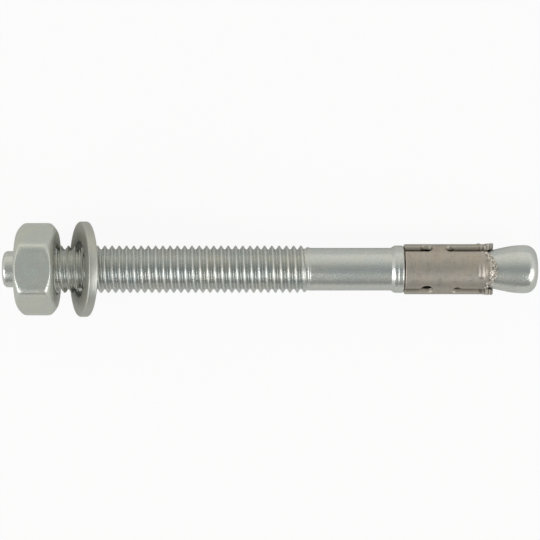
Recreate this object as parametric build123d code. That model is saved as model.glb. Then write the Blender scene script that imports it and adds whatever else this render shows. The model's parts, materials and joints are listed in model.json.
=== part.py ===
from build123d import *
import math
import os

# Wedge anchor with an M10 thread: a cold-formed bolt with a wedge at its foot, a sheet
# clip rolled round the neck above the wedge, a loose washer and a hexagon nut.
# Sizes are in millimetres. Every piece is drawn about the bolt's own axis, X, with the
# hammered tip at x = 0 and the wedge at the far end. The whole anchor is then laid down
# as it comes to rest: on the washer's rim and on the shoulder of the wedge.

# Bolt
anchor_length = 110.0
tip_diameter = 7.5
tip_length = 3.3
tip_round = 0.8
thread_diameter = 9.83
thread_root_diameter = 8.16
thread_pitch = 1.5
thread_length = 58.1
shank_diameter = 8.8
collar_diameter = 9.8
collar_width = 2.7
collar_slope_length = 0.8
collar_crown_round = 1.6
collar_shoulder_round = 0.5
neck_diameter = 7.7
neck_length = 17.6
neck_root_round = 0.5
wedge_diameter = 9.95
wedge_length = 9.8
wedge_half_angle = 12.1
wedge_crest_round = 18.0
wedge_end_round = 2.3

# Expansion clip
clip_wall = 1.0
clip_play = 0.325
clip_end_play = 0.1
clip_lap_on_wedge = 0.6
clip_turned = 3.0
wing_count = 3
wing_pitch_angle = 116.0
wing_slot_angle = 18.5
wing_nose_radius = 4.1
wing_tip_length = 0.8
collar_relief_diameter = 2.6
collar_relief_from_start = 4.4
wedge_relief_diameter = 2.1
upper_wedge_relief_from_start = 9.3
lower_wedge_relief_from_start = 10.6
relief_overcut = 0.05
dimple_from_tip = 2.6
dimple_width = 1.9
dimple_height = 0.28
dimple_angle = 24.0

# Nut
nut_across_flats = 17.0
nut_across_corners = 19.1
nut_height = 8.0
nut_face_diameter = 15.8
nut_chamfer_angle = 30.0
nut_bevel_crown = 12.0
nut_countersink_diameter = 10.7
nut_thread_play = 0.05
nut_outer_face = 3.0

# Washer
washer_diameter = 19.7
washer_hole_diameter = 11.1
washer_thickness = 1.9
washer_edge_round = 0.35
washer_lean_angle = 18.5
washer_gap_to_nut = 1.4

# Places and radii that follow from the sizes above
wedge_start = anchor_length - wedge_length
collar_end = wedge_start - neck_length
collar_start = collar_end - collar_width
thread_start = tip_length
thread_end = thread_start + thread_length
thread_runout = 1.35 * thread_pitch
neck_radius = neck_diameter / 2
wedge_radius = wedge_diameter / 2
wedge_slope_length = (wedge_radius - neck_radius) / math.tan(math.radians(wedge_half_angle))
clip_start = collar_end + clip_end_play
clip_end = wedge_start + clip_lap_on_wedge
clip_inner_radius = neck_radius + clip_play
clip_outer_radius = clip_inner_radius + clip_wall
wing_flare = wing_tip_length * math.tan(math.radians(wedge_half_angle))
washer_radius = washer_diameter / 2
washer_lean = math.radians(washer_lean_angle)
washer_reach = washer_radius * math.sin(washer_lean) + washer_thickness / 2 * math.cos(washer_lean)
washer_centre = nut_outer_face + nut_height + washer_gap_to_nut + washer_reach
straight_up = 90.0


def turned(corners):
    """Return the solid turned about X from corners (x, radius, corner round), axis to axis."""
    points = [(x, radius) for x, radius, _ in corners]
    rounds = [corner_round for _, _, corner_round in corners[1:-1]]
    outline = FilletPolyline(*points, radius=rounds)
    centre_line = Line(points[-1], points[0])
    return revolve(make_face(outline.edges() + centre_line.edges()), Axis.X)


def sector(corners, middle_angle, angle):
    """Return a closed outline of (x, radius) swept about X, centred on middle_angle."""
    face = make_face(Polyline(*corners, close=True).edges())
    swept = revolve(face, Axis.X, revolution_arc=angle)
    return Rot(X=middle_angle - angle / 2) * swept


def anchor_bolt():
    """Return the bolt: hammered tip, thread, shank, collar, neck and wedge in one piece."""
    tip_radius = tip_diameter / 2
    root_radius = thread_root_diameter / 2
    thread_radius = thread_diameter / 2
    shank_radius = shank_diameter / 2
    collar_radius = collar_diameter / 2
    thread_bevel = thread_radius - root_radius
    corners = [
        (0, 0, 0),
        (0, tip_radius, tip_round),
        (thread_start, tip_radius, 0),
        (thread_start, root_radius, 0),
        (thread_start + thread_bevel, thread_radius, 0),
        (thread_end, thread_radius, 0),
        (thread_end + thread_runout, shank_radius, 0),
        (collar_start, shank_radius, 0),
        (collar_start + collar_slope_length, collar_radius, collar_crown_round),
        (collar_end, collar_radius, collar_shoulder_round),
        (collar_end, neck_radius, neck_root_round),
        (wedge_start, neck_radius, 0),
        (wedge_start + wedge_slope_length, wedge_radius, wedge_crest_round),
        (anchor_length, wedge_radius, wedge_end_round),
        (anchor_length, 0, 0),
    ]
    return turned(corners)


def clip_band():
    """Return the rolled strip before slotting, its last stretch flared over the wedge."""
    flare_start = clip_end - wing_tip_length
    wall = [
        (clip_start, clip_inner_radius),
        (flare_start, clip_inner_radius),
        (clip_end, clip_inner_radius + wing_flare),
        (clip_end, clip_outer_radius + wing_flare),
        (flare_start, clip_outer_radius),
        (clip_start, clip_outer_radius),
    ]
    return sector(wall, straight_up, wing_count * wing_pitch_angle - wing_slot_angle)


def relief_drill(x, diameter, slot_angle):
    """Return the drill of a slot's relief hole.

    The hole keeps to the slot's edge on one side and bites into the wing on the other.
    """
    reach = 2 * clip_outer_radius
    bite = math.degrees((diameter / 2 - relief_overcut) / clip_outer_radius) - wing_slot_angle / 2
    drill = Pos(x, 0, reach / 2) * Cylinder(diameter / 2, reach)
    return Rot(X=slot_angle - bite - straight_up) * drill


def wing_slot(angle, wedge_relief_from_start):
    """Return what is cut between two wings: a slot from each end, with a relief hole."""
    collar_relief = clip_start + collar_relief_from_start
    wedge_relief = clip_start + wedge_relief_from_start
    beyond = clip_wall
    reach = 2 * clip_outer_radius
    spans = [(clip_start - beyond, collar_relief), (wedge_relief, clip_end + beyond)]
    cuts = [
        sector([(a, 0), (b, 0), (b, reach), (a, reach)], angle, wing_slot_angle) for a, b in spans
    ]
    cuts.append(relief_drill(collar_relief, collar_relief_diameter, angle))
    cuts.append(relief_drill(wedge_relief, wedge_relief_diameter, angle))
    return cuts


def nose_trim(angle):
    """Return what is cut off a wing's corners to round its nose over the wedge."""
    reach = 2 * clip_outer_radius
    nose_centre = clip_end + wing_flare - wing_nose_radius
    square = Pos(nose_centre + reach / 2, 0) * Rectangle(reach, reach)
    corners = extrude(square - Pos(nose_centre, 0) * Circle(wing_nose_radius), reach)
    wing = [(clip_start, 0), (clip_end + reach, 0), (clip_end + reach, reach), (clip_start, reach)]
    return (Rot(X=angle - straight_up) * corners) & sector(wing, angle, wing_pitch_angle)


def pressed_lens(base_radius, width, angle):
    """Return a bar bent round the axis, with round ends, that stands out of base_radius."""
    bar_radius = (width**2 / 4 + dimple_height**2) / (2 * dimple_height)
    bend_radius = base_radius + dimple_height - bar_radius
    x = clip_end - dimple_from_tip
    bar = revolve(Pos(x, bend_radius) * Circle(bar_radius), Axis.X, revolution_arc=dimple_angle)
    end = Pos(x, bend_radius, 0) * Sphere(bar_radius)
    return Rot(X=angle - dimple_angle / 2) * (bar + end + Rot(X=dimple_angle) * end)


def expansion_clip():
    """Return the clip: three wings held by two bridges, open along its seam below."""
    wing_angles = [straight_up + (k - (wing_count - 1) / 2) * wing_pitch_angle for k in range(wing_count)]
    wedge_reliefs = [upper_wedge_relief_from_start, lower_wedge_relief_from_start]
    bore = Pos((clip_start + clip_end) / 2, 0, 0) * Rot(Y=90) * Cylinder(clip_inner_radius, neck_length)
    clip = clip_band()
    for angle in wing_angles:
        clip += pressed_lens(clip_outer_radius, dimple_width, angle) - bore
    for angle in wing_angles:
        clip -= pressed_lens(clip_inner_radius, dimple_width, angle)
        clip -= nose_trim(angle)
    for wing_angle, wedge_relief in zip(wing_angles, wedge_reliefs):
        clip -= wing_slot(wing_angle + wing_pitch_angle / 2, wedge_relief)
    return Rot(X=clip_turned) * clip


def hex_nut():
    """Return the nut: a hexagon with crowned bevels on both faces, bored and countersunk."""
    corner_radius = nut_across_corners / 2
    face_radius = nut_face_diameter / 2
    bevel = (corner_radius - face_radius) * math.tan(math.radians(nut_chamfer_angle))
    blank_outline = [
        Line((0, 0), (0, face_radius)),
        RadiusArc((0, face_radius), (bevel, corner_radius), nut_bevel_crown),
        Line((bevel, corner_radius), (nut_height - bevel, corner_radius)),
        RadiusArc((nut_height - bevel, corner_radius), (nut_height, face_radius), nut_bevel_crown),
        Line((nut_height, face_radius), (nut_height, 0)),
        Line((nut_height, 0), (0, 0)),
    ]
    blank = revolve(make_face(blank_outline), Axis.X)
    hexagon = RegularPolygon(nut_across_flats / 2, 6, major_radius=False)
    nut = blank & extrude(Plane.YZ * hexagon, nut_height)
    bore_radius = thread_diameter / 2 + nut_thread_play
    mouth_radius = nut_countersink_diameter / 2
    mouth_depth = (mouth_radius - bore_radius) * math.tan(math.radians(nut_chamfer_angle))
    bore = turned(
        [
            (0, 0, 0),
            (0, mouth_radius, 0),
            (mouth_depth, bore_radius, 0),
            (nut_height - mouth_depth, bore_radius, 0),
            (nut_height, mouth_radius, 0),
            (nut_height, 0, 0),
        ]
    )
    return Pos(nut_outer_face, 0, 0) * (nut - bore)


def flat_washer():
    """Return the washer, rounded where it was stamped, leaning loose on the thread."""
    half = washer_thickness / 2
    disc = turned(
        [
            (-half, 0, 0),
            (-half, washer_radius, washer_edge_round),
            (half, washer_radius, washer_edge_round),
            (half, 0, 0),
        ]
    )
    hole = Rot(Y=90) * Cylinder(washer_hole_diameter / 2, 2 * washer_thickness)
    return Pos(washer_centre, 0, 0) * Rot(Y=washer_lean_angle) * (disc - hole)


def resting_angle():
    """Return the angle in degrees by which the axis drops towards the wedge at rest.

    The axis is as high over the floor as the leaning washer's lowest rim at one end and
    as the wedge's rounded shoulder at the other.
    """
    half = washer_thickness / 2
    rim_radius = washer_radius - washer_edge_round
    rim_half = half - washer_edge_round
    run = (
        (anchor_length - wedge_end_round - washer_centre)
        + rim_radius * math.sin(washer_lean)
        - rim_half * math.cos(washer_lean)
    )
    rise = (
        rim_radius * math.cos(washer_lean)
        + rim_half * math.sin(washer_lean)
        - (wedge_radius - wedge_end_round)
    )
    drop = wedge_end_round - washer_edge_round
    return math.degrees(math.atan2(rise, run) - math.asin(drop / math.hypot(rise, run)))


def laid_down(pieces):
    """Return the pieces turned to their rest, with the origin below the box's middle."""
    lean = Rot(Y=resting_angle())
    box = Compound(children=[lean * piece for piece in pieces.values()]).bounding_box()
    middle = box.center()
    place = Pos(-middle.X, -middle.Y, -box.min.Z) * lean
    return place, {name: place * piece for name, piece in pieces.items()}


drawn = {
    "anchor_bolt": anchor_bolt(),
    "expansion_clip": expansion_clip(),
    "flat_washer": flat_washer(),
    "hex_nut": hex_nut(),
}
place, resting = laid_down(drawn)
os.makedirs("parts", exist_ok=True)
for name, piece in resting.items():
    export_step(piece, f"parts/{name}.step")
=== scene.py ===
import json
import logging
import math
from bisect import bisect
from collections.abc import Callable, Sequence
from dataclasses import dataclass
from enum import Enum
from typing import ClassVar

import bmesh
import bpy
from mathutils import Matrix, Vector, kdtree, noise
from mathutils.geometry import delaunay_2d_cdt


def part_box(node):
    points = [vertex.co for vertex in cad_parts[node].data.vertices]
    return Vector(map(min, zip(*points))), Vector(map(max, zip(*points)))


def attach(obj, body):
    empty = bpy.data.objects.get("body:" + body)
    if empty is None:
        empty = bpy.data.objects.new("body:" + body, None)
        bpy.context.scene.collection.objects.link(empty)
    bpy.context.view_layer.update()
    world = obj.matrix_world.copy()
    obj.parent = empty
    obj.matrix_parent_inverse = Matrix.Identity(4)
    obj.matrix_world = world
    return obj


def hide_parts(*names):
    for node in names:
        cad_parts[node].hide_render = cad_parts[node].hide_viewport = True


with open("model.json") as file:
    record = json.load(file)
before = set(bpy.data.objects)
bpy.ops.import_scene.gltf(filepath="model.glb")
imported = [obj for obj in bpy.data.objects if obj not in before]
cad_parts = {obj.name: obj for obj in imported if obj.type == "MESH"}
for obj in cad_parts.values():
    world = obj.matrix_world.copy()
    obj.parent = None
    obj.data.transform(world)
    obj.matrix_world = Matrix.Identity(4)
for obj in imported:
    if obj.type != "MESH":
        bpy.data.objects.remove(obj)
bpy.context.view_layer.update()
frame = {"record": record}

# Looks of a zinc-plated wedge anchor: bolt, nut, washer and expansion clip. Sizes of the
# pieces are in millimetres, and each mesh is scaled to metres as it is placed. Places come
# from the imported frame.

MM = 0.001
SMOOTH_UNDER = math.radians(38)
# How near, in millimetres, counts as on a cutting plane and as the same point.
CUT_WITHIN = 1e-6
JOIN_WITHIN = 1e-5
# A Mix node takes its two colours at these inputs and gives the mixed one at this output.
MIX_COLOURS = (6, 7)
MIXED_COLOUR = 2
log = logging.getLogger("wedge_anchor")

Colour = tuple[float, float, float]
Vert = bmesh.types.BMVert


def blend(low: float, high: float, value: float) -> float:
    """Return how far value has gone from low to high, from 0 to 1 and eased at both ends."""
    share = min(max((value - low) / (high - low), 0.0), 1.0)
    return share * share * (3 - 2 * share)


def soft_min(first: float, second: float, softness: float) -> float:
    """Return the smaller of two lengths, rounded where they differ by less than softness."""
    overlap = max(softness - abs(first - second), 0.0) / softness
    return min(first, second) - overlap * overlap * softness / 4


def pairs(loop: Sequence) -> list[tuple]:
    """Return each item of a closed loop with the one after it."""
    return list(zip(loop, [*loop[1:], loop[0]]))


def slope(degrees: float) -> float:
    """Return the rise over the run of a slope at this angle."""
    return math.tan(math.radians(degrees))


def around(columns: int) -> list[float]:
    """Return the angles of columns that share out a whole turn."""
    return [math.tau * k / columns for k in range(columns)]


def shown(name: str, data: bpy.types.ID) -> bpy.types.Object:
    """Put a new object in the scene.

    Args:
        name: Its name.
        data: Its mesh, lamp or camera.

    Returns:
        The object.
    """
    made = bpy.data.objects.new(name, data)
    bpy.context.scene.collection.objects.link(made)
    return made


def rounded(corners: Sequence[tuple[float, float, float]], steps: int = 7) -> list[tuple[float, float]]:
    """Return an open outline with its corners rounded by arcs.

    Args:
        corners: Corners as (along, radius, corner round).
        steps: Points on each arc.

    Returns:
        Points as (along, radius).
    """
    points = [Vector(corner[:2]) for corner in corners]
    outline = [tuple(points[0])]
    for k in range(1, len(points) - 1):
        here = points[k]
        back = (points[k - 1] - here).normalized()
        ahead = (points[k + 1] - here).normalized()
        corner_round = corners[k][2]
        if corner_round == 0:
            outline.append(tuple(here))
            continue
        half = back.angle(ahead) / 2
        centre = here + (back + ahead).normalized() * corner_round / math.sin(half)
        first = here + back * corner_round / math.tan(half) - centre
        last = here + ahead * corner_round / math.tan(half) - centre
        turn = first.angle_signed(last)
        for step in range(steps):
            spoke = first.copy()
            spoke.rotate(Matrix.Rotation(-turn * step / (steps - 1), 2))
            outline.append(tuple(centre + spoke))
    outline.append(tuple(points[-1]))
    return outline


class Skin:
    """A mesh in the making, drawn in millimetres about the X axis of its own frame.

    The faces in flat are shaded flat, and the others smooth up to their sharp edges.
    """

    def __init__(self, name: str) -> None:
        """Start an empty skin.

        Args:
            name: The name that the finished object takes.
        """
        self.name = name
        self.mesh = bmesh.new()
        self.flat: list[bmesh.types.BMFace] = []

    def point(self, along: float, angle: float, radius: float) -> Vert:
        """Add a point at a distance along X, an angle from Y towards Z and a radius."""
        return self.mesh.verts.new((along, radius * math.cos(angle), radius * math.sin(angle)))

    def ring(self, angles: Sequence[float], along: float, radius: float) -> list[Vert]:
        """Add a ring of points, one at each angle."""
        return [self.point(along, angle, radius) for angle in angles]

    def bridge(self, first: Sequence[Vert], second: Sequence[Vert]) -> None:
        """Join two closed rings of equal count with quads."""
        for (a, b), (d, c) in zip(pairs(first), pairs(second)):
            self.mesh.faces.new((a, b, c, d))

    def span(self, inner: Sequence[Vert], outer: Sequence[Vert]) -> None:
        """Fill the flat space between two rings of unlike counts, in step by angle.

        Args:
            inner: The inner ring.
            outer: The outer ring.
        """
        rings = [sorted(ring, key=self.turn) for ring in (inner, outer)]
        turns = [[*map(self.turn, ring), self.turn(ring[0]) + math.tau] for ring in rings]
        inner, outer = [[*ring, ring[0]] for ring in rings]
        j, k = 0, 0
        while j + k < len(inner) + len(outer) - 2:
            inner_left, outer_done = j < len(inner) - 1, k == len(outer) - 1
            if outer_done or (inner_left and turns[0][j + 1] <= turns[1][k + 1]):
                corners = (inner[j], inner[j + 1], outer[k])
                j += 1
            else:
                corners = (inner[j], outer[k + 1], outer[k])
                k += 1
            self.flat.append(self.mesh.faces.new(corners))

    @staticmethod
    def turn(vert: Vert) -> float:
        """Return a point's angle about the axis, from 0 to a whole turn."""
        return math.atan2(vert.co.z, vert.co.y) % math.tau

    def lathe(self, rim: Sequence[Vert], stations: Sequence[tuple[float, float]]) -> list[Vert]:
        """Carry a ring on through stations, turned about the axis.

        Args:
            rim: The ring to start from.
            stations: Places as (along, radius).

        Returns:
            The last ring.
        """
        angles = [math.atan2(vert.co.z, vert.co.y) for vert in rim]
        for along, radius in stations:
            following = self.ring(angles, along, radius)
            self.bridge(rim, following)
            rim = following
        return list(rim)

    def close(self, rim: Sequence[Vert], along: float) -> None:
        """Close a ring with a fan.

        Args:
            rim: The ring.
            along: Where the fan meets the axis.
        """
        middle = self.mesh.verts.new((along, 0, 0))
        for here, there in pairs(rim):
            self.mesh.faces.new((here, there, middle))

    def cut(self, along: float, keep: int) -> list[Vert]:
        """Trim the skin at a plane square to the axis.

        Args:
            along: Where the plane is.
            keep: 1 keeps what lies beyond the plane, -1 what lies before it.

        Returns:
            The rim on the plane, in order of angle.
        """
        whole = list(self.mesh.verts) + list(self.mesh.edges) + list(self.mesh.faces)
        made = bmesh.ops.bisect_plane(
            self.mesh,
            geom=whole,
            dist=CUT_WITHIN,
            plane_co=(along, 0, 0),
            plane_no=(keep, 0, 0),
            clear_inner=True,
        )
        rim = [item for item in made["geom_cut"] if isinstance(item, Vert)]
        return sorted(rim, key=lambda vert: math.atan2(vert.co.z, vert.co.y))

    def placed(self, place: Matrix) -> bpy.types.Object:
        """Finish the skin as an object whose vertices are in the part's frame.

        Args:
            place: The skin's frame in the part's frame, in metres.

        Returns:
            The object, at the origin.
        """
        bmesh.ops.recalc_face_normals(self.mesh, faces=self.mesh.faces)
        self.mesh.faces.index_update()
        flat = [face.index for face in self.flat]
        data = bpy.data.meshes.new(self.name)
        self.mesh.to_mesh(data)
        self.mesh.free()
        data.transform(place @ Matrix.Scale(MM, 4))
        data.set_sharp_from_angle(angle=SMOOTH_UNDER)
        for k in flat:
            data.polygons[k].use_smooth = False
        return shown(self.name, data)


@dataclass(frozen=True)
class AxisFrame:
    """The bolt's own axis in the part's frame, from the hammered tip towards the wedge."""

    tip: Vector
    along: Vector
    up: Vector

    @classmethod
    def from_record(cls, record: dict) -> "AxisFrame":
        """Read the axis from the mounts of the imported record.

        Args:
            record: The record.

        Returns:
            The axis.
        """
        mounts = {mount["name"]: mount for mount in record["mounts"]}
        return cls(
            tip=Vector(mounts["hammered_tip"]["pos_m"]),
            along=Vector(mounts["fixture_thread"]["axis"]).normalized(),
            up=Vector(mounts["wrench_flat"]["axis"]).normalized(),
        )

    def place(self, origin: Vector, along: Vector | None = None) -> Matrix:
        """Return the frame of a piece that is turned about its own axis.

        Args:
            origin: The piece's origin.
            along: The piece's axis, where it isn't the bolt's.

        Returns:
            The frame as a matrix.
        """
        forward = along or self.along
        side = self.up.cross(forward).normalized()
        rise = forward.cross(side)
        turn = Matrix((forward, side, rise)).transposed().to_4x4()
        return Matrix.Translation(origin) @ turn

    def at(self, along: float) -> Vector:
        """Return the point on the axis at this distance from the tip, in millimetres."""
        return self.tip + self.along * along * MM


class Wire:
    """A shader socket that reads as a number: each operator on it adds one Math node."""

    def __init__(self, board: "Board", socket: bpy.types.NodeSocket) -> None:
        """Hold an output socket, and the board that new nodes go to."""
        self.board = board
        self.socket = socket

    def __getitem__(self, output: str) -> "Wire":
        """Return another output of the same node."""
        return Wire(self.board, self.socket.node.outputs[output])

    def _math(self, operation: str, *values: "Wire | float") -> "Wire":
        """Add a Math node with these inputs, and return its result."""
        return self.board.add("ShaderNodeMath", {"operation": operation}, dict(enumerate(values)))

    def __add__(self, other: "Wire | float") -> "Wire":
        """Return self + other."""
        return self._math("ADD", self, other)

    def __radd__(self, other: float) -> "Wire":
        """Return other + self."""
        return self._math("ADD", other, self)

    def __sub__(self, other: "Wire | float") -> "Wire":
        """Return self - other."""
        return self._math("SUBTRACT", self, other)

    def __rsub__(self, other: float) -> "Wire":
        """Return other - self."""
        return self._math("SUBTRACT", other, self)

    def __mul__(self, other: "Wire | float") -> "Wire":
        """Return self * other."""
        return self._math("MULTIPLY", self, other)

    def __rmul__(self, other: float) -> "Wire":
        """Return other * self."""
        return self._math("MULTIPLY", other, self)

    def eased(self, low: float, high: float) -> "Wire":
        """Return 0 at low, 1 at high and an eased share between them."""
        sockets = {"Value": self, "From Min": low, "From Max": high}
        return self.board.add("ShaderNodeMapRange", {"interpolation_type": "SMOOTHSTEP"}, sockets)


class Board:
    """A node tree with the few ways of adding to it that the finishes use."""

    def __init__(self, tree: bpy.types.NodeTree) -> None:
        """Take over the tree of a material or a world, and empty it."""
        self.tree = tree
        tree.nodes.clear()

    def add(
        self, kind: str, settings: dict | None = None, sockets: dict | None = None, output: int | str = 0
    ) -> Wire:
        """Add a node, set it up and feed it.

        Args:
            kind: The node's type.
            settings: Its properties, and "stops" for a ramp's (position, colour) pairs.
            sockets: Values or wires by the name or index of the input.
            output: The output to return.

        Returns:
            That output.
        """
        node = self.tree.nodes.new(kind)
        for name, value in (settings or {}).items():
            if name == "stops":
                self._set_stops(node.color_ramp.elements, value)
            else:
                setattr(node, name, value)
        for name, value in (sockets or {}).items():
            if isinstance(value, Wire):
                self.tree.links.new(value.socket, node.inputs[name])
            else:
                node.inputs[name].default_value = value
        return Wire(self, node.outputs[output] if node.outputs else node.inputs[0])

    @staticmethod
    def _set_stops(elements: bpy.types.ColorRampElements, stops: Sequence[tuple[float, Colour]]) -> None:
        """Give a colour ramp its stops.

        Args:
            elements: The ramp's own stops.
            stops: Positions and colours.
        """
        while len(elements) < len(stops):
            elements.new(1.0)
        for element, (position, colour) in zip(elements, stops):
            element.position = position
            element.color = (*colour, 1.0)

    def vector(self, operation: str, *values: "Wire | tuple", output: int | str = 0) -> Wire:
        """Add a Vector Math node with these inputs, and return this output of it."""
        sockets = dict(enumerate(values))
        return self.add("ShaderNodeVectorMath", {"operation": operation}, sockets, output)

    def scaled(self, vector: "Wire | tuple", share: "Wire | float") -> Wire:
        """Return a vector times a number."""
        return self.add("ShaderNodeVectorMath", {"operation": "SCALE"}, {0: vector, "Scale": share})

    def mix(self, factor: "Wire | float", first: "Wire | Colour", second: "Wire | Colour") -> Wire:
        """Mix two colours.

        Args:
            factor: 0 gives the first, 1 the second.
            first: A colour or a wire.
            second: A colour or a wire.

        Returns:
            The mixed colour.
        """
        tones = [tone if isinstance(tone, Wire) else (*tone, 1.0) for tone in (first, second)]
        sockets = {0: factor, **dict(zip(MIX_COLOURS, tones))}
        return self.add("ShaderNodeMix", {"data_type": "RGBA"}, sockets, MIXED_COLOUR)

    def noise(self, place: Wire, size: float, detail: float = 3.0, roughness: float = 0.55) -> Wire:
        """Return noise about 0.5, over places in millimetres, whose features have this size."""
        sockets = {"Vector": place, "Scale": 1 / size, "Detail": detail, "Roughness": roughness}
        return self.add("ShaderNodeTexNoise", {}, sockets)

    def cells(self, place: Wire, size: float) -> Wire:
        """Return the distance to the nearest of points scattered at this spacing, as a share of it."""
        return self.add("ShaderNodeTexVoronoi", {}, {"Vector": place, "Scale": 1 / size})

    def bump(self, height: Wire) -> Wire:
        """Turn a height in millimetres into a normal."""
        return self.add("ShaderNodeBump", {}, {"Height": height, "Distance": MM})

    def metal(self, colour: Wire, roughness: Wire, height: Wire) -> None:
        """End the tree as a bare metal.

        Args:
            colour: Its colour.
            roughness: Its roughness.
            height: Its relief in millimetres.
        """
        normal = self.bump(height)
        sockets = {"Base Color": colour, "Metallic": 1.0, "Roughness": roughness, "Normal": normal}
        shader = self.add("ShaderNodeBsdfPrincipled", {}, sockets)
        self.add("ShaderNodeOutputMaterial", {}, {"Surface": shader})


@dataclass(frozen=True)
class Lie:
    """Where a shaded point lies on a turned piece, in millimetres."""

    point: Wire
    along: Wire
    radius: Wire
    drawn: Wire
    turned: Wire

    DRAWN_SHARE: ClassVar[float] = 0.08
    TURNED_SHARE: ClassVar[float] = 0.06

    @classmethod
    def about(cls, board: Board, origin: Vector, axis: Vector) -> "Lie":
        """Add the nodes that work out the point's place about an axis.

        Args:
            board: The board to add to.
            origin: A point on the axis, in metres.
            axis: The axis.

        Returns:
            The place, its distances, and two copies of it that are pulled out along the
            axis and around it, for marks that run that way.
        """
        place = board.add("ShaderNodeTexCoord", {}, {}, "Object")
        point = board.scaled(board.vector("SUBTRACT", place, tuple(origin)), 1 / MM)
        along = board.vector("DOT_PRODUCT", point, tuple(axis), output="Value")
        foot = board.scaled(tuple(axis), along)
        spoke = board.vector("SUBTRACT", point, foot)
        radius = board.vector("LENGTH", spoke, output="Value")
        drawn = board.vector("MULTIPLY_ADD", foot, (cls.DRAWN_SHARE,) * 3, spoke)
        turned = board.vector("MULTIPLY_ADD", spoke, (cls.TURNED_SHARE,) * 3, foot)
        return cls(point=point, along=along, radius=radius, drawn=drawn, turned=turned)


class Marks(Enum):
    """Which way the fine marks of a finish run."""

    DRAWN = "along the axis"
    TURNED = "around the axis"
    BLASTED = "every way"


@dataclass(frozen=True)
class Finish:
    """A metal's finish.

    A share says how strongly a mark shows, a gloss how much it polishes or dulls, and a
    band over which values of its noise it fades in.
    """

    name: str

    def material(self, origin: Vector, axis: Vector) -> bpy.types.Material:
        """Build the finish for a piece about an axis.

        Args:
            origin: A point on the axis, in metres.
            axis: The axis.

        Returns:
            The material.
        """
        made = bpy.data.materials.new(self.name)
        made.use_nodes = True
        board = Board(made.node_tree)
        board.metal(*self.surface(board, Lie.about(board, origin, axis)))
        return made

    def surface(self, board: Board, lie: Lie) -> tuple[Wire, Wire, Wire]:
        """Return the finish's colour, roughness and relief, which each finish gives."""
        raise NotImplementedError


@dataclass(frozen=True)
class ZincPlate(Finish):
    """Bright zinc plating over steel, with its grain, its marks, its faint tints and painted shade in a
    thread's roots.
    """

    tone: Colour
    cool_tint: Colour
    warm_tint: Colour
    roughness: float
    grain_size: float
    grain_depth: float
    marks: Marks
    mark_size: float
    mark_depth: float
    burnish: tuple[float, float]
    burnish_share: float
    burnish_tone: Colour = (0.86, 0.87, 0.85)
    burnish_gloss: float = 0.08
    cloud_size: float = 5.0
    cloud_band: tuple[float, float] = (0.35, 0.65)
    patch_size: float = 1.4
    patch_band: tuple[float, float] = (0.3, 0.75)
    mark_band: tuple[float, float] = (0.55, 0.8)
    pit_band: tuple[float, float] = (0.0, 0.45)
    tint_share: float = 0.55
    pit_spacing: float = 1.7
    pit_share: float = 0.35
    pit_depth: float = 0.8
    mark_share: float = 0.18
    grain_gloss: float = 0.22
    patch_gloss: float = 0.16
    mark_gloss: float = 0.14
    # Painted shade: along this reach of the axis, the thread's roots below these radii darken towards
    # shade() by this share.
    root_shade_reach: tuple[float, float] = (0.0, 0.0)
    root_shade_radii: tuple[float, float] = (4.1, 4.7)
    root_shade_share: float = 0.14
    root_shade_fade: float = 1.0
    shade_share: float = 0.55

    def surface(self, board: Board, lie: Lie) -> tuple[Wire, Wire, Wire]:
        """Mix the plating's colour, roughness and relief.

        Args:
            board: The board to add to.
            lie: Where the shaded point lies.

        Returns:
            The three.
        """
        ways = {Marks.DRAWN: lie.drawn, Marks.TURNED: lie.turned, Marks.BLASTED: lie.point}
        clouds = board.noise(lie.point, self.cloud_size, 2.0)
        patches = board.noise(lie.point, self.patch_size, 4.0)
        grain = board.noise(lie.point, self.grain_size, 3.0, 0.6)
        marks = board.noise(ways[self.marks], self.mark_size, 4.0, 0.65)
        pits = board.cells(lie.point, self.pit_spacing * self.grain_size).eased(*self.pit_band)
        rubbed = lie.radius.eased(*self.burnish)

        tint = board.mix(clouds.eased(*self.cloud_band), self.cool_tint, self.warm_tint)
        body = board.mix(patches.eased(*self.patch_band) * self.tint_share, self.tone, tint)
        pitted = (1 - pits) * self.pit_share + marks.eased(*self.mark_band) * self.mark_share
        dulled = board.mix(pitted, body, self.shade())
        # Painted shade in the thread's roots: the colour darkens where the radius is small along the
        # threaded length.
        (start, end), fade = self.root_shade_reach, self.root_shade_fade
        threaded = lie.along.eased(start, start + fade) * (1 - lie.along.eased(end - fade, end + fade))
        root_shade = threaded * (1 - lie.radius.eased(*self.root_shade_radii)) * self.root_shade_share
        root_shaded = board.mix(root_shade, dulled, self.shade())
        colour = board.mix(rubbed * self.burnish_share, root_shaded, self.burnish_tone)
        roughness = (
            self.roughness
            + (grain - 0.5) * self.grain_gloss
            + (patches - 0.5) * self.patch_gloss
            + (marks - 0.5) * self.mark_gloss
            - rubbed * self.burnish_gloss
        )
        relief = (grain + pits * self.pit_depth) * self.grain_depth + marks * self.mark_depth
        return colour, roughness, relief

    def shade(self) -> Colour:
        """Return the darker tone of pits and marks, which the thread's roots also take as painted shade.
        """
        return tuple(self.shade_share * part for part in self.tone)


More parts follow.
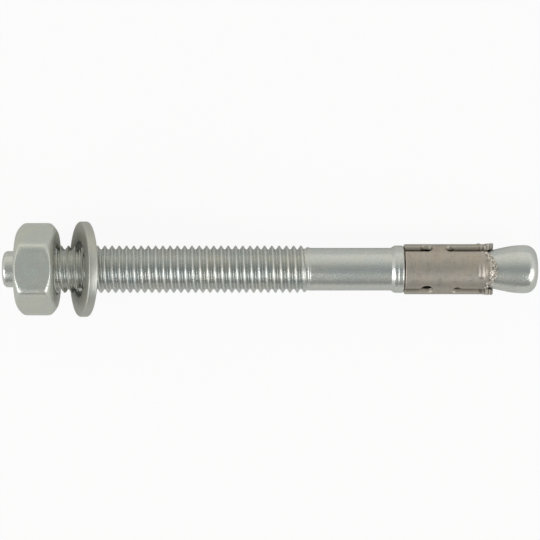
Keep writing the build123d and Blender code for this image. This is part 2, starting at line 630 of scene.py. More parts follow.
@dataclass(frozen=True)
class ClipSteel(Finish):
    """Plain rolled sheet, brown-grey, with rolling marks, a sheared edge and a gritty nose whose beads
    get a painted highlight on top and painted shade between them.
    """

    name: str = "rolled_sheet"
    tone: Colour = (0.495, 0.455, 0.41)
    warm_tint: Colour = (0.52, 0.455, 0.39)
    dark_tint: Colour = (0.26, 0.235, 0.21)
    edge_tone: Colour = (0.60, 0.56, 0.50)
    bead_highlight_tone: Colour = (0.74, 0.69, 0.62)
    roughness: float = 0.44
    cloud_size: float = 3.6
    cloud_band: tuple[float, float] = (0.35, 0.7)
    stain_size: float = 1.1
    stain_band: tuple[float, float] = (0.5, 0.75)
    roll_size: float = 0.16
    roll_band: tuple[float, float] = (0.5, 0.8)
    speck_band: tuple[float, float] = (0.05, 0.3)
    bead_highlight_band: tuple[float, float] = (0.3, 0.9)
    roll_depth: float = 0.024
    grain_size: float = 0.11
    grain_depth: float = 0.009
    speck_spacing: float = 0.5
    speck_depth: float = 0.006
    speck_share: float = 0.45
    stain_share: float = 0.5
    edge_and_gap_shade_share: float = 0.7
    roll_gloss: float = 0.2
    cloud_gloss: float = 0.16
    grain_gloss: float = 0.14
    grit_gloss: float = 0.1

    def surface(self, board: Board, lie: Lie) -> tuple[Wire, Wire, Wire]:
        """Mix the sheet's colour, roughness and relief.

        Args:
            board: The board to add to.
            lie: Where the shaded point lies.

        Returns:
            The three.
        """
        edge, grit, bead = (
            board.add("ShaderNodeAttribute", {"attribute_name": name}, {}, "Fac")
            for name in ("edge", "grit", "bead")
        )
        clouds = board.noise(lie.point, self.cloud_size, 3.0)
        stains = board.noise(lie.point, self.stain_size, 4.0, 0.65)
        rolled = board.noise(lie.turned, self.roll_size, 4.0, 0.6)
        grain = board.noise(lie.point, self.grain_size, 3.0)
        specks = board.cells(lie.point, self.speck_spacing).eased(*self.speck_band)

        body = board.mix(clouds.eased(*self.cloud_band), self.tone, self.warm_tint)
        streaked = board.mix(rolled.eased(*self.roll_band) * self.stain_share, body, self.dark_tint)
        stained = board.mix(stains.eased(*self.stain_band) * self.stain_share, streaked, self.dark_tint)
        specked = board.mix((1 - specks) * self.speck_share, stained, self.dark_tint)
        edged = board.mix(edge * self.edge_and_gap_shade_share * (1 - grit), specked, self.edge_tone)
        # Painted shade darkens the gaps between the nose's beads, and a painted highlight lightens the
        # beads' tops.
        gap_shaded = board.mix(grit * (1 - bead) * self.edge_and_gap_shade_share, edged, self.dark_tint)
        colour = board.mix(grit * bead.eased(*self.bead_highlight_band), gap_shaded, self.bead_highlight_tone)
        roughness = (
            self.roughness
            + (rolled - 0.5) * self.roll_gloss
            + (clouds - 0.5) * self.cloud_gloss
            + (grain - 0.5) * self.grain_gloss
            - grit * self.grit_gloss
        )
        relief = rolled * self.roll_depth + grain * self.grain_depth + specks * self.speck_depth
        return colour, roughness, relief


@dataclass(frozen=True)
class ThreadForm:
    """A right-hand metric thread as a surface about the bolt's axis, in millimetres."""

    pitch: float
    crest_radius: float
    root_radius: float
    crest_at: float
    crest_flat: float = 0.2
    flank_angle: float = 30.0
    crest_softness: float = 0.36
    root_softness: float = 0.45
    rows: tuple[float, ...] = (0.0, 0.04, 0.08, 0.12, 0.24, 0.35, 0.40, 0.45)
    columns: int = 96
    spare_turns: int = 2

    def shares(self) -> list[float]:
        """Return where the rows of one turn lie, as shares of the pitch from the crest."""
        return [*self.rows, 0.5, *[1 - share for share in reversed(self.rows[1:])]]

    def radius(self, share: float) -> float:
        """Return the surface's radius at a share of the pitch from the crest.

        Args:
            share: From 0 to 1.

        Returns:
            The radius.
        """
        depth = self.crest_radius - self.root_radius
        from_crest = min(share, 1 - share) * self.pitch
        fallen = (from_crest - self.crest_flat / 2) / slope(self.flank_angle) / depth
        height = soft_min(1.0, 1 - fallen, self.crest_softness)
        height = -soft_min(0.0, -height, self.root_softness)
        return self.root_radius + depth * height

    def cover(
        self, skin: Skin, start: float, end: float, trimmed: Callable[[float, float], float]
    ) -> tuple[list[Vert], list[Vert]]:
        """Add the thread between two planes.

        Its rows follow the helix, so each crest stays crisp with few rows.

        Args:
            skin: The skin to add to, still empty.
            start: The plane at its start.
            end: The plane at its end.
            trimmed: Gives the radius at (along, thread's radius), one value at each plane.

        Returns:
            The rims at the start and at the end.
        """
        shares = self.shares()
        first_turn = math.floor((start - self.crest_at) / self.pitch) - self.spare_turns
        last_turn = math.ceil((end - self.crest_at) / self.pitch) + self.spare_turns
        angles = around(self.columns)
        rows = []
        for turn in range(first_turn, last_turn):
            for share in shares:
                row_at = self.crest_at + self.pitch * (turn + share)
                row = []
                for angle in angles:
                    along = row_at + self.pitch * angle / math.tau
                    row.append(skin.point(along, angle, trimmed(along, self.radius(share))))
                rows.append(row)
        for k in range(len(rows) - 1 - len(shares)):
            lower = rows[k] + [rows[k + len(shares)][0]]
            upper = rows[k + 1] + [rows[k + 1 + len(shares)][0]]
            for j in range(self.columns):
                skin.mesh.faces.new((lower[j], lower[j + 1], upper[j + 1], upper[j]))
        loose = [vert for vert in skin.mesh.verts if not vert.link_faces]
        bmesh.ops.delete(skin.mesh, geom=loose, context="VERTS")
        return skin.cut(start, 1), skin.cut(end, -1)


@dataclass(frozen=True)
class AnchorBolt:
    """The bolt: hammered tip, rolled thread, shank, collar, neck and wedge."""

    axis: AxisFrame
    length: float = 110.0
    tip_radius: float = 3.75
    tip_length: float = 3.3
    tip_round: float = 0.8
    tip_crown: float = 0.12
    thread_start: float = 3.3
    thread_end: float = 61.4
    thread_runout: float = 2.025
    runout_power: float = 0.6
    shank_radius: float = 4.4
    shank_fillet: float = 0.3
    ring_before_collar: float = 6.0
    collar_radius: float = 4.9
    collar_width: float = 2.7
    collar_slope: float = 0.8
    collar_round: float = 1.2
    collar_line_at: float = 1.45
    collar_line_reach: float = 0.12
    collar_line_depth: float = 0.05
    collar_line_rounds: tuple[float, float] = (0.1, 0.08)
    step_round: float = 0.5
    neck_radius: float = 3.85
    neck_length: float = 17.6
    neck_fillet: float = 1.5
    wedge_radius: float = 4.975
    wedge_length: float = 9.8
    wedge_half_angle: float = 12.1
    wedge_crest_round: float = 18.0
    wedge_end_round: float = 2.3
    wedge_crown: float = 0.1
    wedge_face: tuple[float, float] = (1.5, 6.0)
    wedge_eye: float = 0.4
    thread: ThreadForm = ThreadForm(pitch=1.5, crest_radius=4.915, root_radius=4.08, crest_at=1.38)

    def trimmed(self, along: float, radius: float) -> float:
        """Return the thread's radius, bevelled at its start and run out into the shank.

        Args:
            along: Distance from the tip.
            radius: The full thread's radius.

        Returns:
            The radius after the bevel and the run-out.
        """
        root = self.thread.root_radius
        bevel = root + max(along - self.thread_start, 0.0)
        gone = min(max((along - self.thread_end) / self.thread_runout, 0.0), 1.0)
        lowest = root + (self.shank_radius - root) * gone**self.runout_power
        highest = self.thread.crest_radius + (self.shank_radius - self.thread.crest_radius) * gone
        return min(max(radius, lowest), highest, bevel)

    def tip_stations(self) -> list[tuple[float, float]]:
        """Work out the tip's outline from the thread's start to the rim of its end.

        Returns:
            Places as (along, radius).
        """
        corners = [
            (self.tip_length, self.tip_radius, 0),
            (0.0, self.tip_radius, self.tip_round),
            (0.0, self.tip_radius - 2 * self.tip_round, 0),
        ]
        crowned = []
        for along, radius in rounded(corners):
            crowned.append((along + self.tip_crown * (radius / self.tip_radius) ** 2, radius))
        crowned[0] = corners[0][:2]
        inner = [share * (self.tip_radius - 2 * self.tip_round) for share in (0.75, 0.5, 0.25)]
        crowned += [(self.tip_crown * (radius / self.tip_radius) ** 2, radius) for radius in inner]
        return crowned

    def foot_stations(self) -> list[tuple[float, float]]:
        """Work out the outline from the thread's end to the rim of the wedge's end.

        Returns:
            Places as (along, radius).
        """
        shank_start = self.thread_end + self.thread_runout
        wedge_start = self.length - self.wedge_length
        collar_end = wedge_start - self.neck_length
        collar_start = collar_end - self.collar_width
        line_at, line_reach = collar_start + self.collar_line_at, self.collar_line_reach
        lip_round, groove_round = self.collar_line_rounds
        ramp = (self.wedge_radius - self.neck_radius) / slope(self.wedge_half_angle)
        corners = [
            (shank_start, self.shank_radius, 0),
            (collar_start - self.ring_before_collar, self.shank_radius, 0),
            (collar_start, self.shank_radius, self.shank_fillet),
            (collar_start + self.collar_slope, self.collar_radius, self.collar_round),
            (line_at - line_reach, self.collar_radius, lip_round),
            (line_at, self.collar_radius - self.collar_line_depth, groove_round),
            (line_at + line_reach, self.collar_radius, lip_round),
            (collar_end, self.collar_radius, self.step_round),
            (collar_end, self.neck_radius, self.step_round),
            (wedge_start, self.neck_radius, self.neck_fillet),
            (wedge_start + ramp, self.wedge_radius, self.wedge_crest_round),
            (self.length - self.wedge_crown, self.wedge_radius, self.wedge_end_round),
            (self.length, *self.wedge_face),
            (self.length, self.wedge_eye, 0),
        ]
        return rounded(corners, steps=10)[1:]

    def build(self) -> bpy.types.Object:
        """Build and dress the bolt.

        Returns:
            The piece, riding on its body.
        """
        skin = Skin("threaded_bolt")
        shank_start = self.thread_end + self.thread_runout
        near, far = self.thread.cover(skin, self.thread_start, shank_start, self.trimmed)
        skin.close(skin.lathe(near, self.tip_stations()), 0.0)
        skin.close(skin.lathe(far, self.foot_stations()), self.length)
        piece = skin.placed(self.axis.place(self.axis.tip))
        finish = ZincPlate(
            name="zinc_on_bolt",
            tone=(0.66, 0.67, 0.65),
            cool_tint=(0.58, 0.65, 0.67),
            warm_tint=(0.73, 0.71, 0.63),
            roughness=0.24,
            grain_size=0.24,
            grain_depth=0.020,
            marks=Marks.DRAWN,
            mark_size=0.2,
            mark_depth=0.016,
            burnish=(4.85, 4.95),
            burnish_share=0.15,
            root_shade_reach=(self.thread_start, self.thread_end),
        )
        piece.data.materials.append(finish.material(self.axis.tip, self.axis.along))
        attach(piece, "bolt")
        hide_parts("anchor_bolt")
        return piece


@dataclass(frozen=True)
class HexNut:
    """The nut: a cold-formed hexagon with soft edges, bevelled faces and a cut thread."""

    axis: AxisFrame
    across_flats: float = 17.0
    across_corners: float = 19.1
    height: float = 8.0
    face_radius: float = 7.9
    chamfer_angle: float = 30.0
    mouth_radius: float = 5.35
    minor_radius: float = 4.3
    outer_face: float = 3.0
    edge_softness: float = 0.22
    corner_softness: float = 0.3
    corner_rounding: float = 1.1
    thread: ThreadForm = ThreadForm(pitch=1.5, crest_radius=5.0, root_radius=4.165, crest_at=1.38)

    def flank_radius(self, angle: float) -> float:
        """Return the hexagon's radius at an angle, its corners rounded.

        Args:
            angle: Angle in radians, with a flat facing up.

        Returns:
            The radius.
        """
        sector = math.tau / 6
        turn = (angle - math.pi / 2 + sector / 2) % sector - sector / 2
        flat = self.across_flats / 2 / math.cos(turn)
        beside = self.across_flats / 2 / math.cos(sector - abs(turn))
        whole = soft_min(flat, beside, self.corner_softness)
        return soft_min(whole, self.across_corners / 2, self.corner_softness)

    def radius(self, angle: float, depth: float) -> float:
        """Return the outer radius at an angle and a depth from the nearer face.

        Args:
            angle: Angle in radians.
            depth: Distance from the nearer face.

        Returns:
            The radius.
        """
        cone = self.face_radius + depth / slope(self.chamfer_angle)
        flank = self.flank_radius(angle)
        at_corner = blend(self.across_flats / 2, self.across_corners / 2, flank)
        return soft_min(flank, cone, self.edge_softness + self.corner_rounding * at_corner)

    def angles(self) -> list[float]:
        """Space out the columns, closer together towards each corner.

        Returns:
            Their angles.
        """
        half = [0, 5, 10, 14.5, 18.5, 22, 24.5, 26.4, 27.8, 28.9]
        sector = [*half, 30, *[60 - turn for turn in reversed(half[1:])]]
        return [math.radians(30 + 60 * k + turn) for k in range(6) for turn in sector]

    def depths(self) -> list[float]:
        """Return the rings' depths from a face to mid-height, closer together at the bevel."""
        at_bevel = [0.0, 0.03, 0.07, *[0.12 + 0.07 * k for k in range(15)]]
        return [*at_bevel, 1.3, 1.8, 2.6, self.height / 2]

    def trimmed(self, along: float, radius: float) -> float:
        """Return the inner surface's radius, cut by the minor bore and both countersinks.

        Args:
            along: Distance from the tip.
            radius: The full thread's radius.

        Returns:
            The radius after those cuts.
        """
        inner_face = self.outer_face + self.height
        depth = max(min(along - self.outer_face, inner_face - along), 0.0)
        mouth = self.mouth_radius - depth / slope(self.chamfer_angle)
        return max(radius, self.minor_radius, mouth)

    def build(self) -> bpy.types.Object:
        """Build and dress the nut.

        Returns:
            The piece, riding on its body.
        """
        skin = Skin("cold_formed_nut")
        inner_face = self.outer_face + self.height
        near, far = self.thread.cover(skin, self.outer_face, inner_face, self.trimmed)
        angles = self.angles()
        alongs = [self.outer_face + depth for depth in self.depths()]
        alongs += [inner_face - depth for depth in reversed(self.depths()[:-1])]
        rings = []
        for along in alongs:
            depth = min(along - self.outer_face, inner_face - along)
            rings.append([skin.point(along, angle, self.radius(angle, depth)) for angle in angles])
        for here, there in zip(rings, rings[1:]):
            skin.bridge(here, there)
        skin.span(near, rings[0])
        skin.span(far, rings[-1])
        piece = skin.placed(self.axis.place(self.axis.tip))
        finish = ZincPlate(
            name="zinc_on_nut",
            tone=(0.66, 0.67, 0.62),
            cool_tint=(0.57, 0.64, 0.63),
            warm_tint=(0.74, 0.71, 0.61),
            roughness=0.38,
            grain_size=0.24,
            grain_depth=0.028,
            marks=Marks.BLASTED,
            mark_size=0.5,
            mark_depth=0.02,
            burnish=(8.9, 9.6),
            burnish_share=0.2,
        )
        piece.data.materials.append(finish.material(self.axis.tip, self.axis.along))
        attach(piece, "nut")
        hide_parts("hex_nut")
        return piece


@dataclass(frozen=True)
class FlatWasher:
    """The washer: a stamped ring, rolled over at the edges of one face."""

    axis: AxisFrame
    radius: float = 9.85
    hole_radius: float = 5.55
    thickness: float = 1.9
    roll_over: float = 0.45
    sheared_edge: float = 0.35
    columns: int = 160

    def build(self, seat: Vector) -> bpy.types.Object:
        """Build and dress the washer.

        Args:
            seat: The direction that its bearing face looks in.

        Returns:
            The piece, riding on its body.
        """
        low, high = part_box("flat_washer")
        middle = (low + high) / 2
        half = self.thickness / 2
        mid_face = (half, (self.radius + self.hole_radius) / 2, 0)
        corners = [
            mid_face,
            (half, self.radius, self.sheared_edge),
            (-half, self.radius, self.roll_over),
            (-half, self.hole_radius, self.roll_over),
            (half, self.hole_radius, self.sheared_edge),
            mid_face,
        ]
        stations = rounded(corners, steps=6)
        skin = Skin("stamped_washer")
        angles = around(self.columns)
        first = skin.ring(angles, *stations[0])
        last = skin.lathe(first, stations[1:-1])
        skin.bridge(last, first)
        piece = skin.placed(self.axis.place(middle, seat))
        finish = ZincPlate(
            name="zinc_on_washer",
            tone=(0.51, 0.51, 0.475),
            cool_tint=(0.46, 0.49, 0.48),
            warm_tint=(0.57, 0.54, 0.46),
            roughness=0.50,
            grain_size=0.18,
            grain_depth=0.018,
            marks=Marks.TURNED,
            mark_size=0.3,
            mark_depth=0.014,
            burnish=(9.55, 9.9),
            burnish_share=0.1,
        )
        piece.data.materials.append(finish.material(middle, seat))
        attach(piece, "washer")
        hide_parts("flat_washer")
        return piece


@dataclass(frozen=True)
class ExpansionClip:
    """The clip, drawn flat as (along, arc on its outside) and rolled round the neck."""

    axis: AxisFrame
    start: float = 82.7
    end: float = 101.2
    inner_radius: float = 4.175
    wall: float = 1.0
    wings: int = 3
    wing_pitch: float = 116.0
    slot_angle: float = 18.5
    middle_angle: float = 93.0
    nose_radius: float = 4.7
    tip_length: float = 0.8
    flare_angle: float = 12.1
    collar_relief: float = 2.6
    collar_relief_at: float = 4.4
    wedge_relief: float = 2.1
    wedge_reliefs_at: tuple[float, ...] = (9.3, 10.6)
    relief_overcut: float = 0.05
    relief_steps: int = 34
    nose_steps: int = 60
    dimple_from_end: float = 3.05
    dimple_flank: float = 0.84
    dimple_height: float = 0.28
    dimple_angle: float = 24.0
    dome_from_end: float = 1.6
    dome_reach: tuple[float, float] = (0.85, 2.2)
    dome_height: float = 0.3
    dome_flank: tuple[float, float] = (0.1, 1.0)
    rim_step: float = 0.1
    coarse_step: float = 0.3
    fine_step: float = 0.105
    fine_length: float = 4.575
    ring_clearance: float = 0.93
    row_clearance: float = 0.4
    roll_over_rings: tuple[float, ...] = (0.12, 0.4, 1.0)
    roll_over_width: float = 0.34
    roll_over_depth: float = 0.13
    inner_roll_share: float = 0.4
    grit_band: tuple[float, float] = (1.12, 1.6)
    grit_height: float = 0.17
    grit_size: float = 0.38
    bead_reach: float = 0.75

    @property
    def outer_radius(self) -> float:
        """Return the clip's outer radius."""
        return self.inner_radius + self.wall

    @property
    def wing_arc(self) -> float:
        """Return the arc from one wing's middle to the next."""
        return self.outer_radius * math.radians(self.wing_pitch)

    @property
    def slot_arc(self) -> float:
        """Return the width of a slot."""
        return self.outer_radius * math.radians(self.slot_angle)

    @property
    def flare(self) -> float:
        """Return how far the nose stands out over the wedge."""
        return self.tip_length * slope(self.flare_angle)

    def nose_along(self, from_middle: float) -> float:
        """Return where a wing ends, at an arc from its middle.

        Args:
            from_middle: The arc.

        Returns:
            The distance from the tip.
        """
        centre = self.end + self.flare - self.nose_radius
        across = self.outer_radius * math.sin(from_middle / self.outer_radius)
        return min(self.end, centre + math.sqrt(max(self.nose_radius**2 - across**2, 0.0)))

    def wing_middle(self, arc: float) -> float:
        """Return the middle of the wing that this arc is on."""
        last = (self.wings - 1) / 2
        return min(max(round(arc / self.wing_arc), -last), last) * self.wing_arc

    def notch(self, mouth: float, slot: float, hole_at: float, hole_radius: float) -> list[Vector]:
        """Return the outline of a slot with its relief hole, from its mouth and back.

        The hole keeps to the slot's edge on one side and bites into the wing on the other.

        Args:
            mouth: Where the slot opens.
            slot: The arc of its middle.
            hole_at: Where the relief hole's centre is.
            hole_radius: The hole's radius.

        Returns:
            The outline's points.
        """
        towards = 1 if hole_at > mouth else -1
        low, high = slot - self.slot_arc / 2, slot + self.slot_arc / 2
        centre = Vector((hole_at, high - hole_radius + self.relief_overcut))
        first = -math.pi - math.asin((low - centre.y) / hole_radius)
        last = math.pi - math.asin((high - centre.y) / hole_radius)
        points = [Vector((mouth, low))]
        for k in range(self.relief_steps + 1):
            turn = first + (last - first) * k / self.relief_steps
            points.append(centre + Vector((towards * math.cos(turn), math.sin(turn))) * hole_radius)
        points.append(Vector((mouth, high)))
        return points[::towards]

    def outline(self) -> list[Vector]:
        """Draw the flat strip's outline, clockwise from a corner at the collar.

        Returns:
            Its points.
        """
        half_wing = (self.wing_arc - self.slot_arc) / 2
        seam = (self.wings * self.wing_arc - self.slot_arc) / 2
        slots = [(k - self.wings / 2) * self.wing_arc for k in range(1, self.wings)]
        collar_hole = self.start + self.collar_relief_at
        corners = [Vector((self.start, -seam))]
        for slot in slots:
            corners += self.notch(self.start, slot, collar_hole, self.collar_relief / 2)
        corners.append(Vector((self.start, seam)))
        for k in reversed(range(self.wings)):
            middle = (k - (self.wings - 1) / 2) * self.wing_arc
            for step in range(self.nose_steps + 1):
                across = half_wing * (1 - 2 * step / self.nose_steps)
                corners.append(Vector((self.nose_along(across), middle + across)))
            if k > 0:
                mouth = self.nose_along(half_wing)
                wedge_hole = self.start + self.wedge_reliefs_at[k - 1]
                corners += self.notch(mouth, slots[k - 1], wedge_hole, self.wedge_relief / 2)
        return self.walked(corners)

    def walked(self, corners: Sequence[Vector]) -> list[Vector]:
        """Return a closed outline with points at most one rim step apart.

        Args:
            corners: The outline's corners.

        Returns:
            The outline's points.
        """
        points = []
        for here, there in pairs(corners):
            count = math.ceil((there - here).length / self.rim_step)
            points += [here.lerp(there, step / count) for step in range(count)]
        return points

    def relief(self, along: float, arc: float) -> float:
        """Return how far the sheet is pressed outwards: its dimple, dome and flared nose.

        Args:
            along: Distance from the tip.
            arc: The arc from the middle wing's middle.

        Returns:
            The rise.
        """
        from_middle = abs(arc - self.wing_middle(arc))
        bar = self.outer_radius * math.radians(self.dimple_angle) / 2
        off_bar = math.hypot(along - self.end + self.dimple_from_end, max(from_middle - bar, 0.0))
        dimple = self.dimple_height * (1 - blend(0.0, self.dimple_flank, off_bar))
        long, wide = self.dome_reach
        off_dome = math.hypot((along - self.end + self.dome_from_end) / long, from_middle / wide)
        dome = self.dome_height * (1 - blend(*self.dome_flank, off_dome))
        opened = max(along - self.end + self.tip_length, 0.0)
        return max(dimple, dome) + opened * slope(self.flare_angle)

    def grit(self, along: float, arc: float) -> tuple[float, float]:
        """Return the gritty nose's share and its beads.

        Args:
            along: Distance from the tip.
            arc: The arc from the middle wing's middle.

        Returns:
            The share, and how far up a bead the place is, each from 0 to 1.
        """
        from_middle = arc - self.wing_middle(arc)
        short_of_nose = self.nose_along(from_middle) - along
        share = 1 - blend(*self.grit_band, short_of_nose)
        if share == 0:
            return 0.0, 0.0
        near = noise.voronoi(Vector((along, arc, 0.0)) / self.grit_size)[0][0]
        return share, max(1 - (near / self.bead_reach) ** 2, 0.0)

    def scattered(self, rim: Sequence[Vector], nearest: kdtree.KDTree) -> list[Vector]:
        """Return points inside the rim, close together beside it and where the sheet is pressed.

        Args:
            rim: The outline.
            nearest: A search tree of the outline's points.

        Returns:
            The points: rings beside the rim, then staggered rows.
        """
        points = []
        beside = zip([rim[-1], *rim], [*rim[1:], rim[0]])
        inwards = [Vector((b.y - a.y, a.x - b.x)).normalized() for a, b in beside]
        for share in self.roll_over_rings:
            depth = share * self.roll_over_width
            for here, inward in zip(rim, inwards):
                there = here + inward * depth
                if nearest.find((*there, 0))[2] > self.ring_clearance * depth:
                    points.append(there)
        seam = self.wings * self.wing_arc / 2
        fine_from = self.end - self.fine_length
        spans = ((self.start, fine_from, self.coarse_step), (fine_from, self.end, self.fine_step))
        for first, last, step in spans:
            clear = self.roll_over_width + self.row_clearance * step
            for j in range(1, int((last - first) / step)):
                along = first + step * j
                crossed = self.crossings(rim, along)
                for k in range(int(2 * seam / step)):
                    there = Vector((along, step * (k + 0.5 * (j % 2)) - seam))
                    inside = bisect(crossed, there.y) % 2 == 1
                    if inside and nearest.find((*there, 0))[2] > clear:
                        points.append(there)
        return points

    @staticmethod
    def crossings(rim: Sequence[Vector], along: float) -> list[float]:
        """Return the arcs at which the outline crosses a line square to the axis, in order.

        Args:
            rim: The outline.
            along: Where the line is.

        Returns:
            The arcs.
        """
        arcs = []
        for here, there in pairs(rim):
            if (here.x > along) != (there.x > along):
                arcs.append(here.y + (there.y - here.y) * (along - here.x) / (there.x - here.x))
        return sorted(arcs)

    def triangles(self, rim: Sequence[Vector], points: Sequence[Vector]) -> tuple[list, list]:
        """Triangulate the flat sheet, and leave its slots and the space round its noses open.

        The outline runs clockwise and the triangles run the other way, so one that has an
        edge of the outline in the outline's own direction lies outside it.

        Args:
            rim: The outline.
            points: The outline's points, then those inside it.

        Returns:
            The points and the triangles that join them.
        """
        edges = pairs(range(len(rim)))
        points, _, faces, *_ = delaunay_2d_cdt(points, edges, [], 1, JOIN_WITHIN, False)
        kept, rim_edges = [], set(edges)
        for face in faces:
            if not rim_edges.isdisjoint(pairs(face)):
                continue
            if max(face) < len(rim):
                middle = sum((points[k] for k in face), Vector((0, 0))) / 3
                if bisect(self.crossings(rim, middle.x), middle.y) % 2 == 0:
                    continue
            kept.append(face)
        return points, kept

    def build(self) -> bpy.types.Object:
        """Build and dress the clip.

        Returns:
            The piece, riding on its body.
        """
        rim = self.outline()
        nearest = kdtree.KDTree(len(rim))
        for k, point in enumerate(rim):
            nearest.insert((*point, 0), k)
        nearest.balance()
        points, faces = self.triangles(rim, rim + self.scattered(rim, nearest))

        skin = Skin("rolled_clip")
        for name in ("edge", "grit", "bead"):
            skin.mesh.verts.layers.float.new(name)
        layers = [skin.mesh.verts.layers.float[name] for name in ("edge", "grit", "bead")]
        used = sorted({k for face in faces for k in face})
        outside, inside = {}, {}
        for k in used:
            along, arc = points[k]
            depth = nearest.find((along, arc, 0))[2] if k >= len(rim) else 0.0
            turned_in = max(1 - depth / self.roll_over_width, 0.0)
            rolled = self.roll_over_depth * (1 - math.sqrt(1 - turned_in**2))
            angle = math.radians(self.middle_angle) + arc / self.outer_radius
            rise = self.relief(along, arc)
            share, bead = self.grit(along, arc)
            rough = share * self.grit_height * bead
            outside[k] = skin.point(along, angle, self.outer_radius + rise + rough - rolled)
            rolled_in = self.inner_roll_share * rolled
            inside[k] = skin.point(along, angle, self.inner_radius + rise + rolled_in)
            for vert in (outside[k], inside[k]):
                for layer, value in zip(layers, (turned_in**2, share, bead)):
                    vert[layer] = value
        for a, b, c in faces:
            skin.mesh.faces.new((outside[a], outside[b], outside[c]))
            skin.mesh.faces.new((inside[a], inside[c], inside[b]))
        for k, after in pairs(range(len(rim))):
            skin.mesh.faces.new((outside[k], outside[after], inside[after], inside[k]))
        piece = skin.placed(self.axis.place(self.axis.tip))
        piece.data.materials.append(ClipSteel().material(self.axis.tip, self.axis.along))
        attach(piece, "clip")
        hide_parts("expansion_clip")
        return piece


@dataclass(frozen=True)
class Softbox:
    """A rectangular lamp that looks at the middle of the part, in metres and watts."""

    name: str
    place: tuple[float, float, float]
    size: tuple[float, float]
    power: float

    def hang(self) -> None:
        """Hang the lamp."""
        data = bpy.data.lights.new(self.name, "AREA")
        data.shape = "RECTANGLE"
        data.size, data.size_y = self.size
        data.energy = self.power
        lamp = shown(self.name, data)
        lamp.location = self.place
        lamp.rotation_mode = "QUATERNION"
        lamp.rotation_quaternion = Vector(self.place).to_track_quat("Z", "Y")


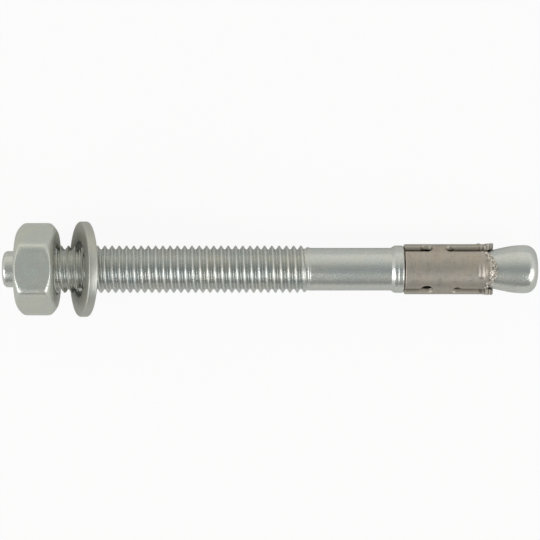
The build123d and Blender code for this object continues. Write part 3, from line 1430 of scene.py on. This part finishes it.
@dataclass(frozen=True)
class Studio:
    """Pale floor, soft lamps, a pale room with a darker ceiling, and the camera.

    Sizes are in metres, but the camera's sensor is in millimetres.
    """

    axis: AxisFrame
    camera_distance: float = 0.350
    seen_width: float = 0.11157
    sensor_width: float = 36.0
    near_clip: float = 0.01
    pixels_above_axis: float = 0.8
    pixels_per_metre: float = 4840.0
    floor_size: float = 3.0
    floor_tone: Colour = (0.74, 0.74, 0.73)
    floor_glow: float = 0.92
    end_tone: Colour = (0.82, 0.81, 0.78)
    end_reach: tuple[float, float] = (0.15, 0.7)
    lamp_size: tuple[float, float] = (0.50, 0.36)
    lamp_power: float = 1.1

    def build(self) -> None:
        """Build the floor, the world, the lamps and the camera."""
        self.floor()
        self.room()
        for lamp in self.lamps():
            lamp.hang()
        self.camera()
        bpy.context.scene.view_settings.view_transform = "Standard"

    def lamps(self) -> list[Softbox]:
        """Return the lamps, one at each side."""
        sides = (("lamp_right", (0.455, -0.265, 0.355)), ("lamp_left", (-0.455, -0.265, 0.355)))
        return [Softbox(name, place, self.lamp_size, self.lamp_power) for name, place in sides]

    def floor(self) -> None:
        """Lay the floor, near white to the camera but for the part's soft shadow."""
        data = bpy.data.meshes.new("floor")
        sheet = bmesh.new()
        bmesh.ops.create_grid(sheet, x_segments=1, y_segments=1, size=self.floor_size / 2)
        sheet.to_mesh(data)
        sheet.free()
        made = bpy.data.materials.new("pale_floor")
        made.use_nodes = True
        board = Board(made.node_tree)
        paint = board.add("ShaderNodeBsdfDiffuse", {}, {"Color": (*self.floor_tone, 1.0)})
        glow = board.add("ShaderNodeEmission", {}, {"Color": (1.0, 1.0, 1.0, 1.0), "Strength": 1.0})
        seen = board.add("ShaderNodeLightPath", {}, {}, "Is Camera Ray")
        shader = board.add("ShaderNodeMixShader", {}, {0: seen * self.floor_glow, 1: paint, 2: glow})
        board.add("ShaderNodeOutputMaterial", {}, {"Surface": shader})
        data.materials.append(made)
        floor = shown("floor", data)

    def room(self) -> None:
        """Give the world pale walls and a darker ceiling, and white where the camera looks.

        The ceiling's dark part reaches lower on the near side, and both ends are pale.
        """
        world = bpy.data.worlds.new("room")
        world.use_nodes = True
        bpy.context.scene.world = world
        board = Board(world.node_tree)
        way = board.add("ShaderNodeTexCoord", {}, {}, "Generated")
        split = board.add("ShaderNodeSeparateXYZ", {}, {"Vector": way})
        lean = board.add("ShaderNodeMath", {"operation": "ARCTAN2"}, {0: split["Y"], 1: split["Z"]})
        share = lean * (1 / math.pi) + 0.5
        across = board.add("ShaderNodeValToRGB", {"stops": self.ramp()}, {0: share}, "Color")
        aside = split["X"] * split["X"]
        around = board.mix(aside.eased(*self.end_reach), across, self.end_tone)
        seen = board.add("ShaderNodeLightPath", {}, {}, "Is Camera Ray")
        colour = board.mix(seen, around, (1.0, 1.0, 1.0))
        sky = board.add("ShaderNodeBackground", {}, {"Color": colour, "Strength": 1.0})
        board.add("ShaderNodeOutputWorld", {}, {"Surface": sky})

    @staticmethod
    def ramp() -> list[tuple[float, Colour]]:
        """Set the room's tones from the near side over the part to the far side.

        Returns:
            Pairs of the share of the way across and a colour.
        """
        tones = {
            -90: (0.28, 0.29, 0.28),
            -72: (0.32, 0.33, 0.32),
            -62: (0.42, 0.43, 0.41),
            -44: (0.50, 0.52, 0.50),
            -26: (0.45, 0.47, 0.45),
            -6: (0.33, 0.355, 0.355),
            14: (0.42, 0.44, 0.42),
            38: (0.66, 0.67, 0.61),
            60: (0.80, 0.79, 0.72),
            90: (0.82, 0.81, 0.76),
        }
        return [(lean / 180 + 0.5, tone) for lean, tone in tones.items()]

    def camera(self) -> None:
        """Hang the camera over the middle of the axis and square to it."""
        data = bpy.data.cameras.new("camera")
        data.sensor_width = self.sensor_width
        data.lens = self.sensor_width * self.camera_distance / self.seen_width
        data.clip_start = self.near_clip
        camera = shown("camera", data)
        below = Vector((0, self.pixels_above_axis / self.pixels_per_metre, 0))
        middle = self.axis.at(AnchorBolt.length / 2) - below
        camera.matrix_world = self.axis.place(middle + self.axis.up * self.camera_distance)
        bpy.context.scene.camera = camera


def main() -> None:
    """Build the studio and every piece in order."""
    logging.basicConfig(level=logging.INFO, format="%(name)s: %(message)s")
    axis = AxisFrame.from_record(frame["record"])
    mounts = {mount["name"]: mount for mount in frame["record"]["mounts"]}
    Studio(axis).build()
    pieces = [
        AnchorBolt(axis).build(),
        HexNut(axis).build(),
        FlatWasher(axis).build(Vector(mounts["washer_seat"]["axis"])),
        ExpansionClip(axis).build(),
    ]


if __name__ == "__main__":
    main()
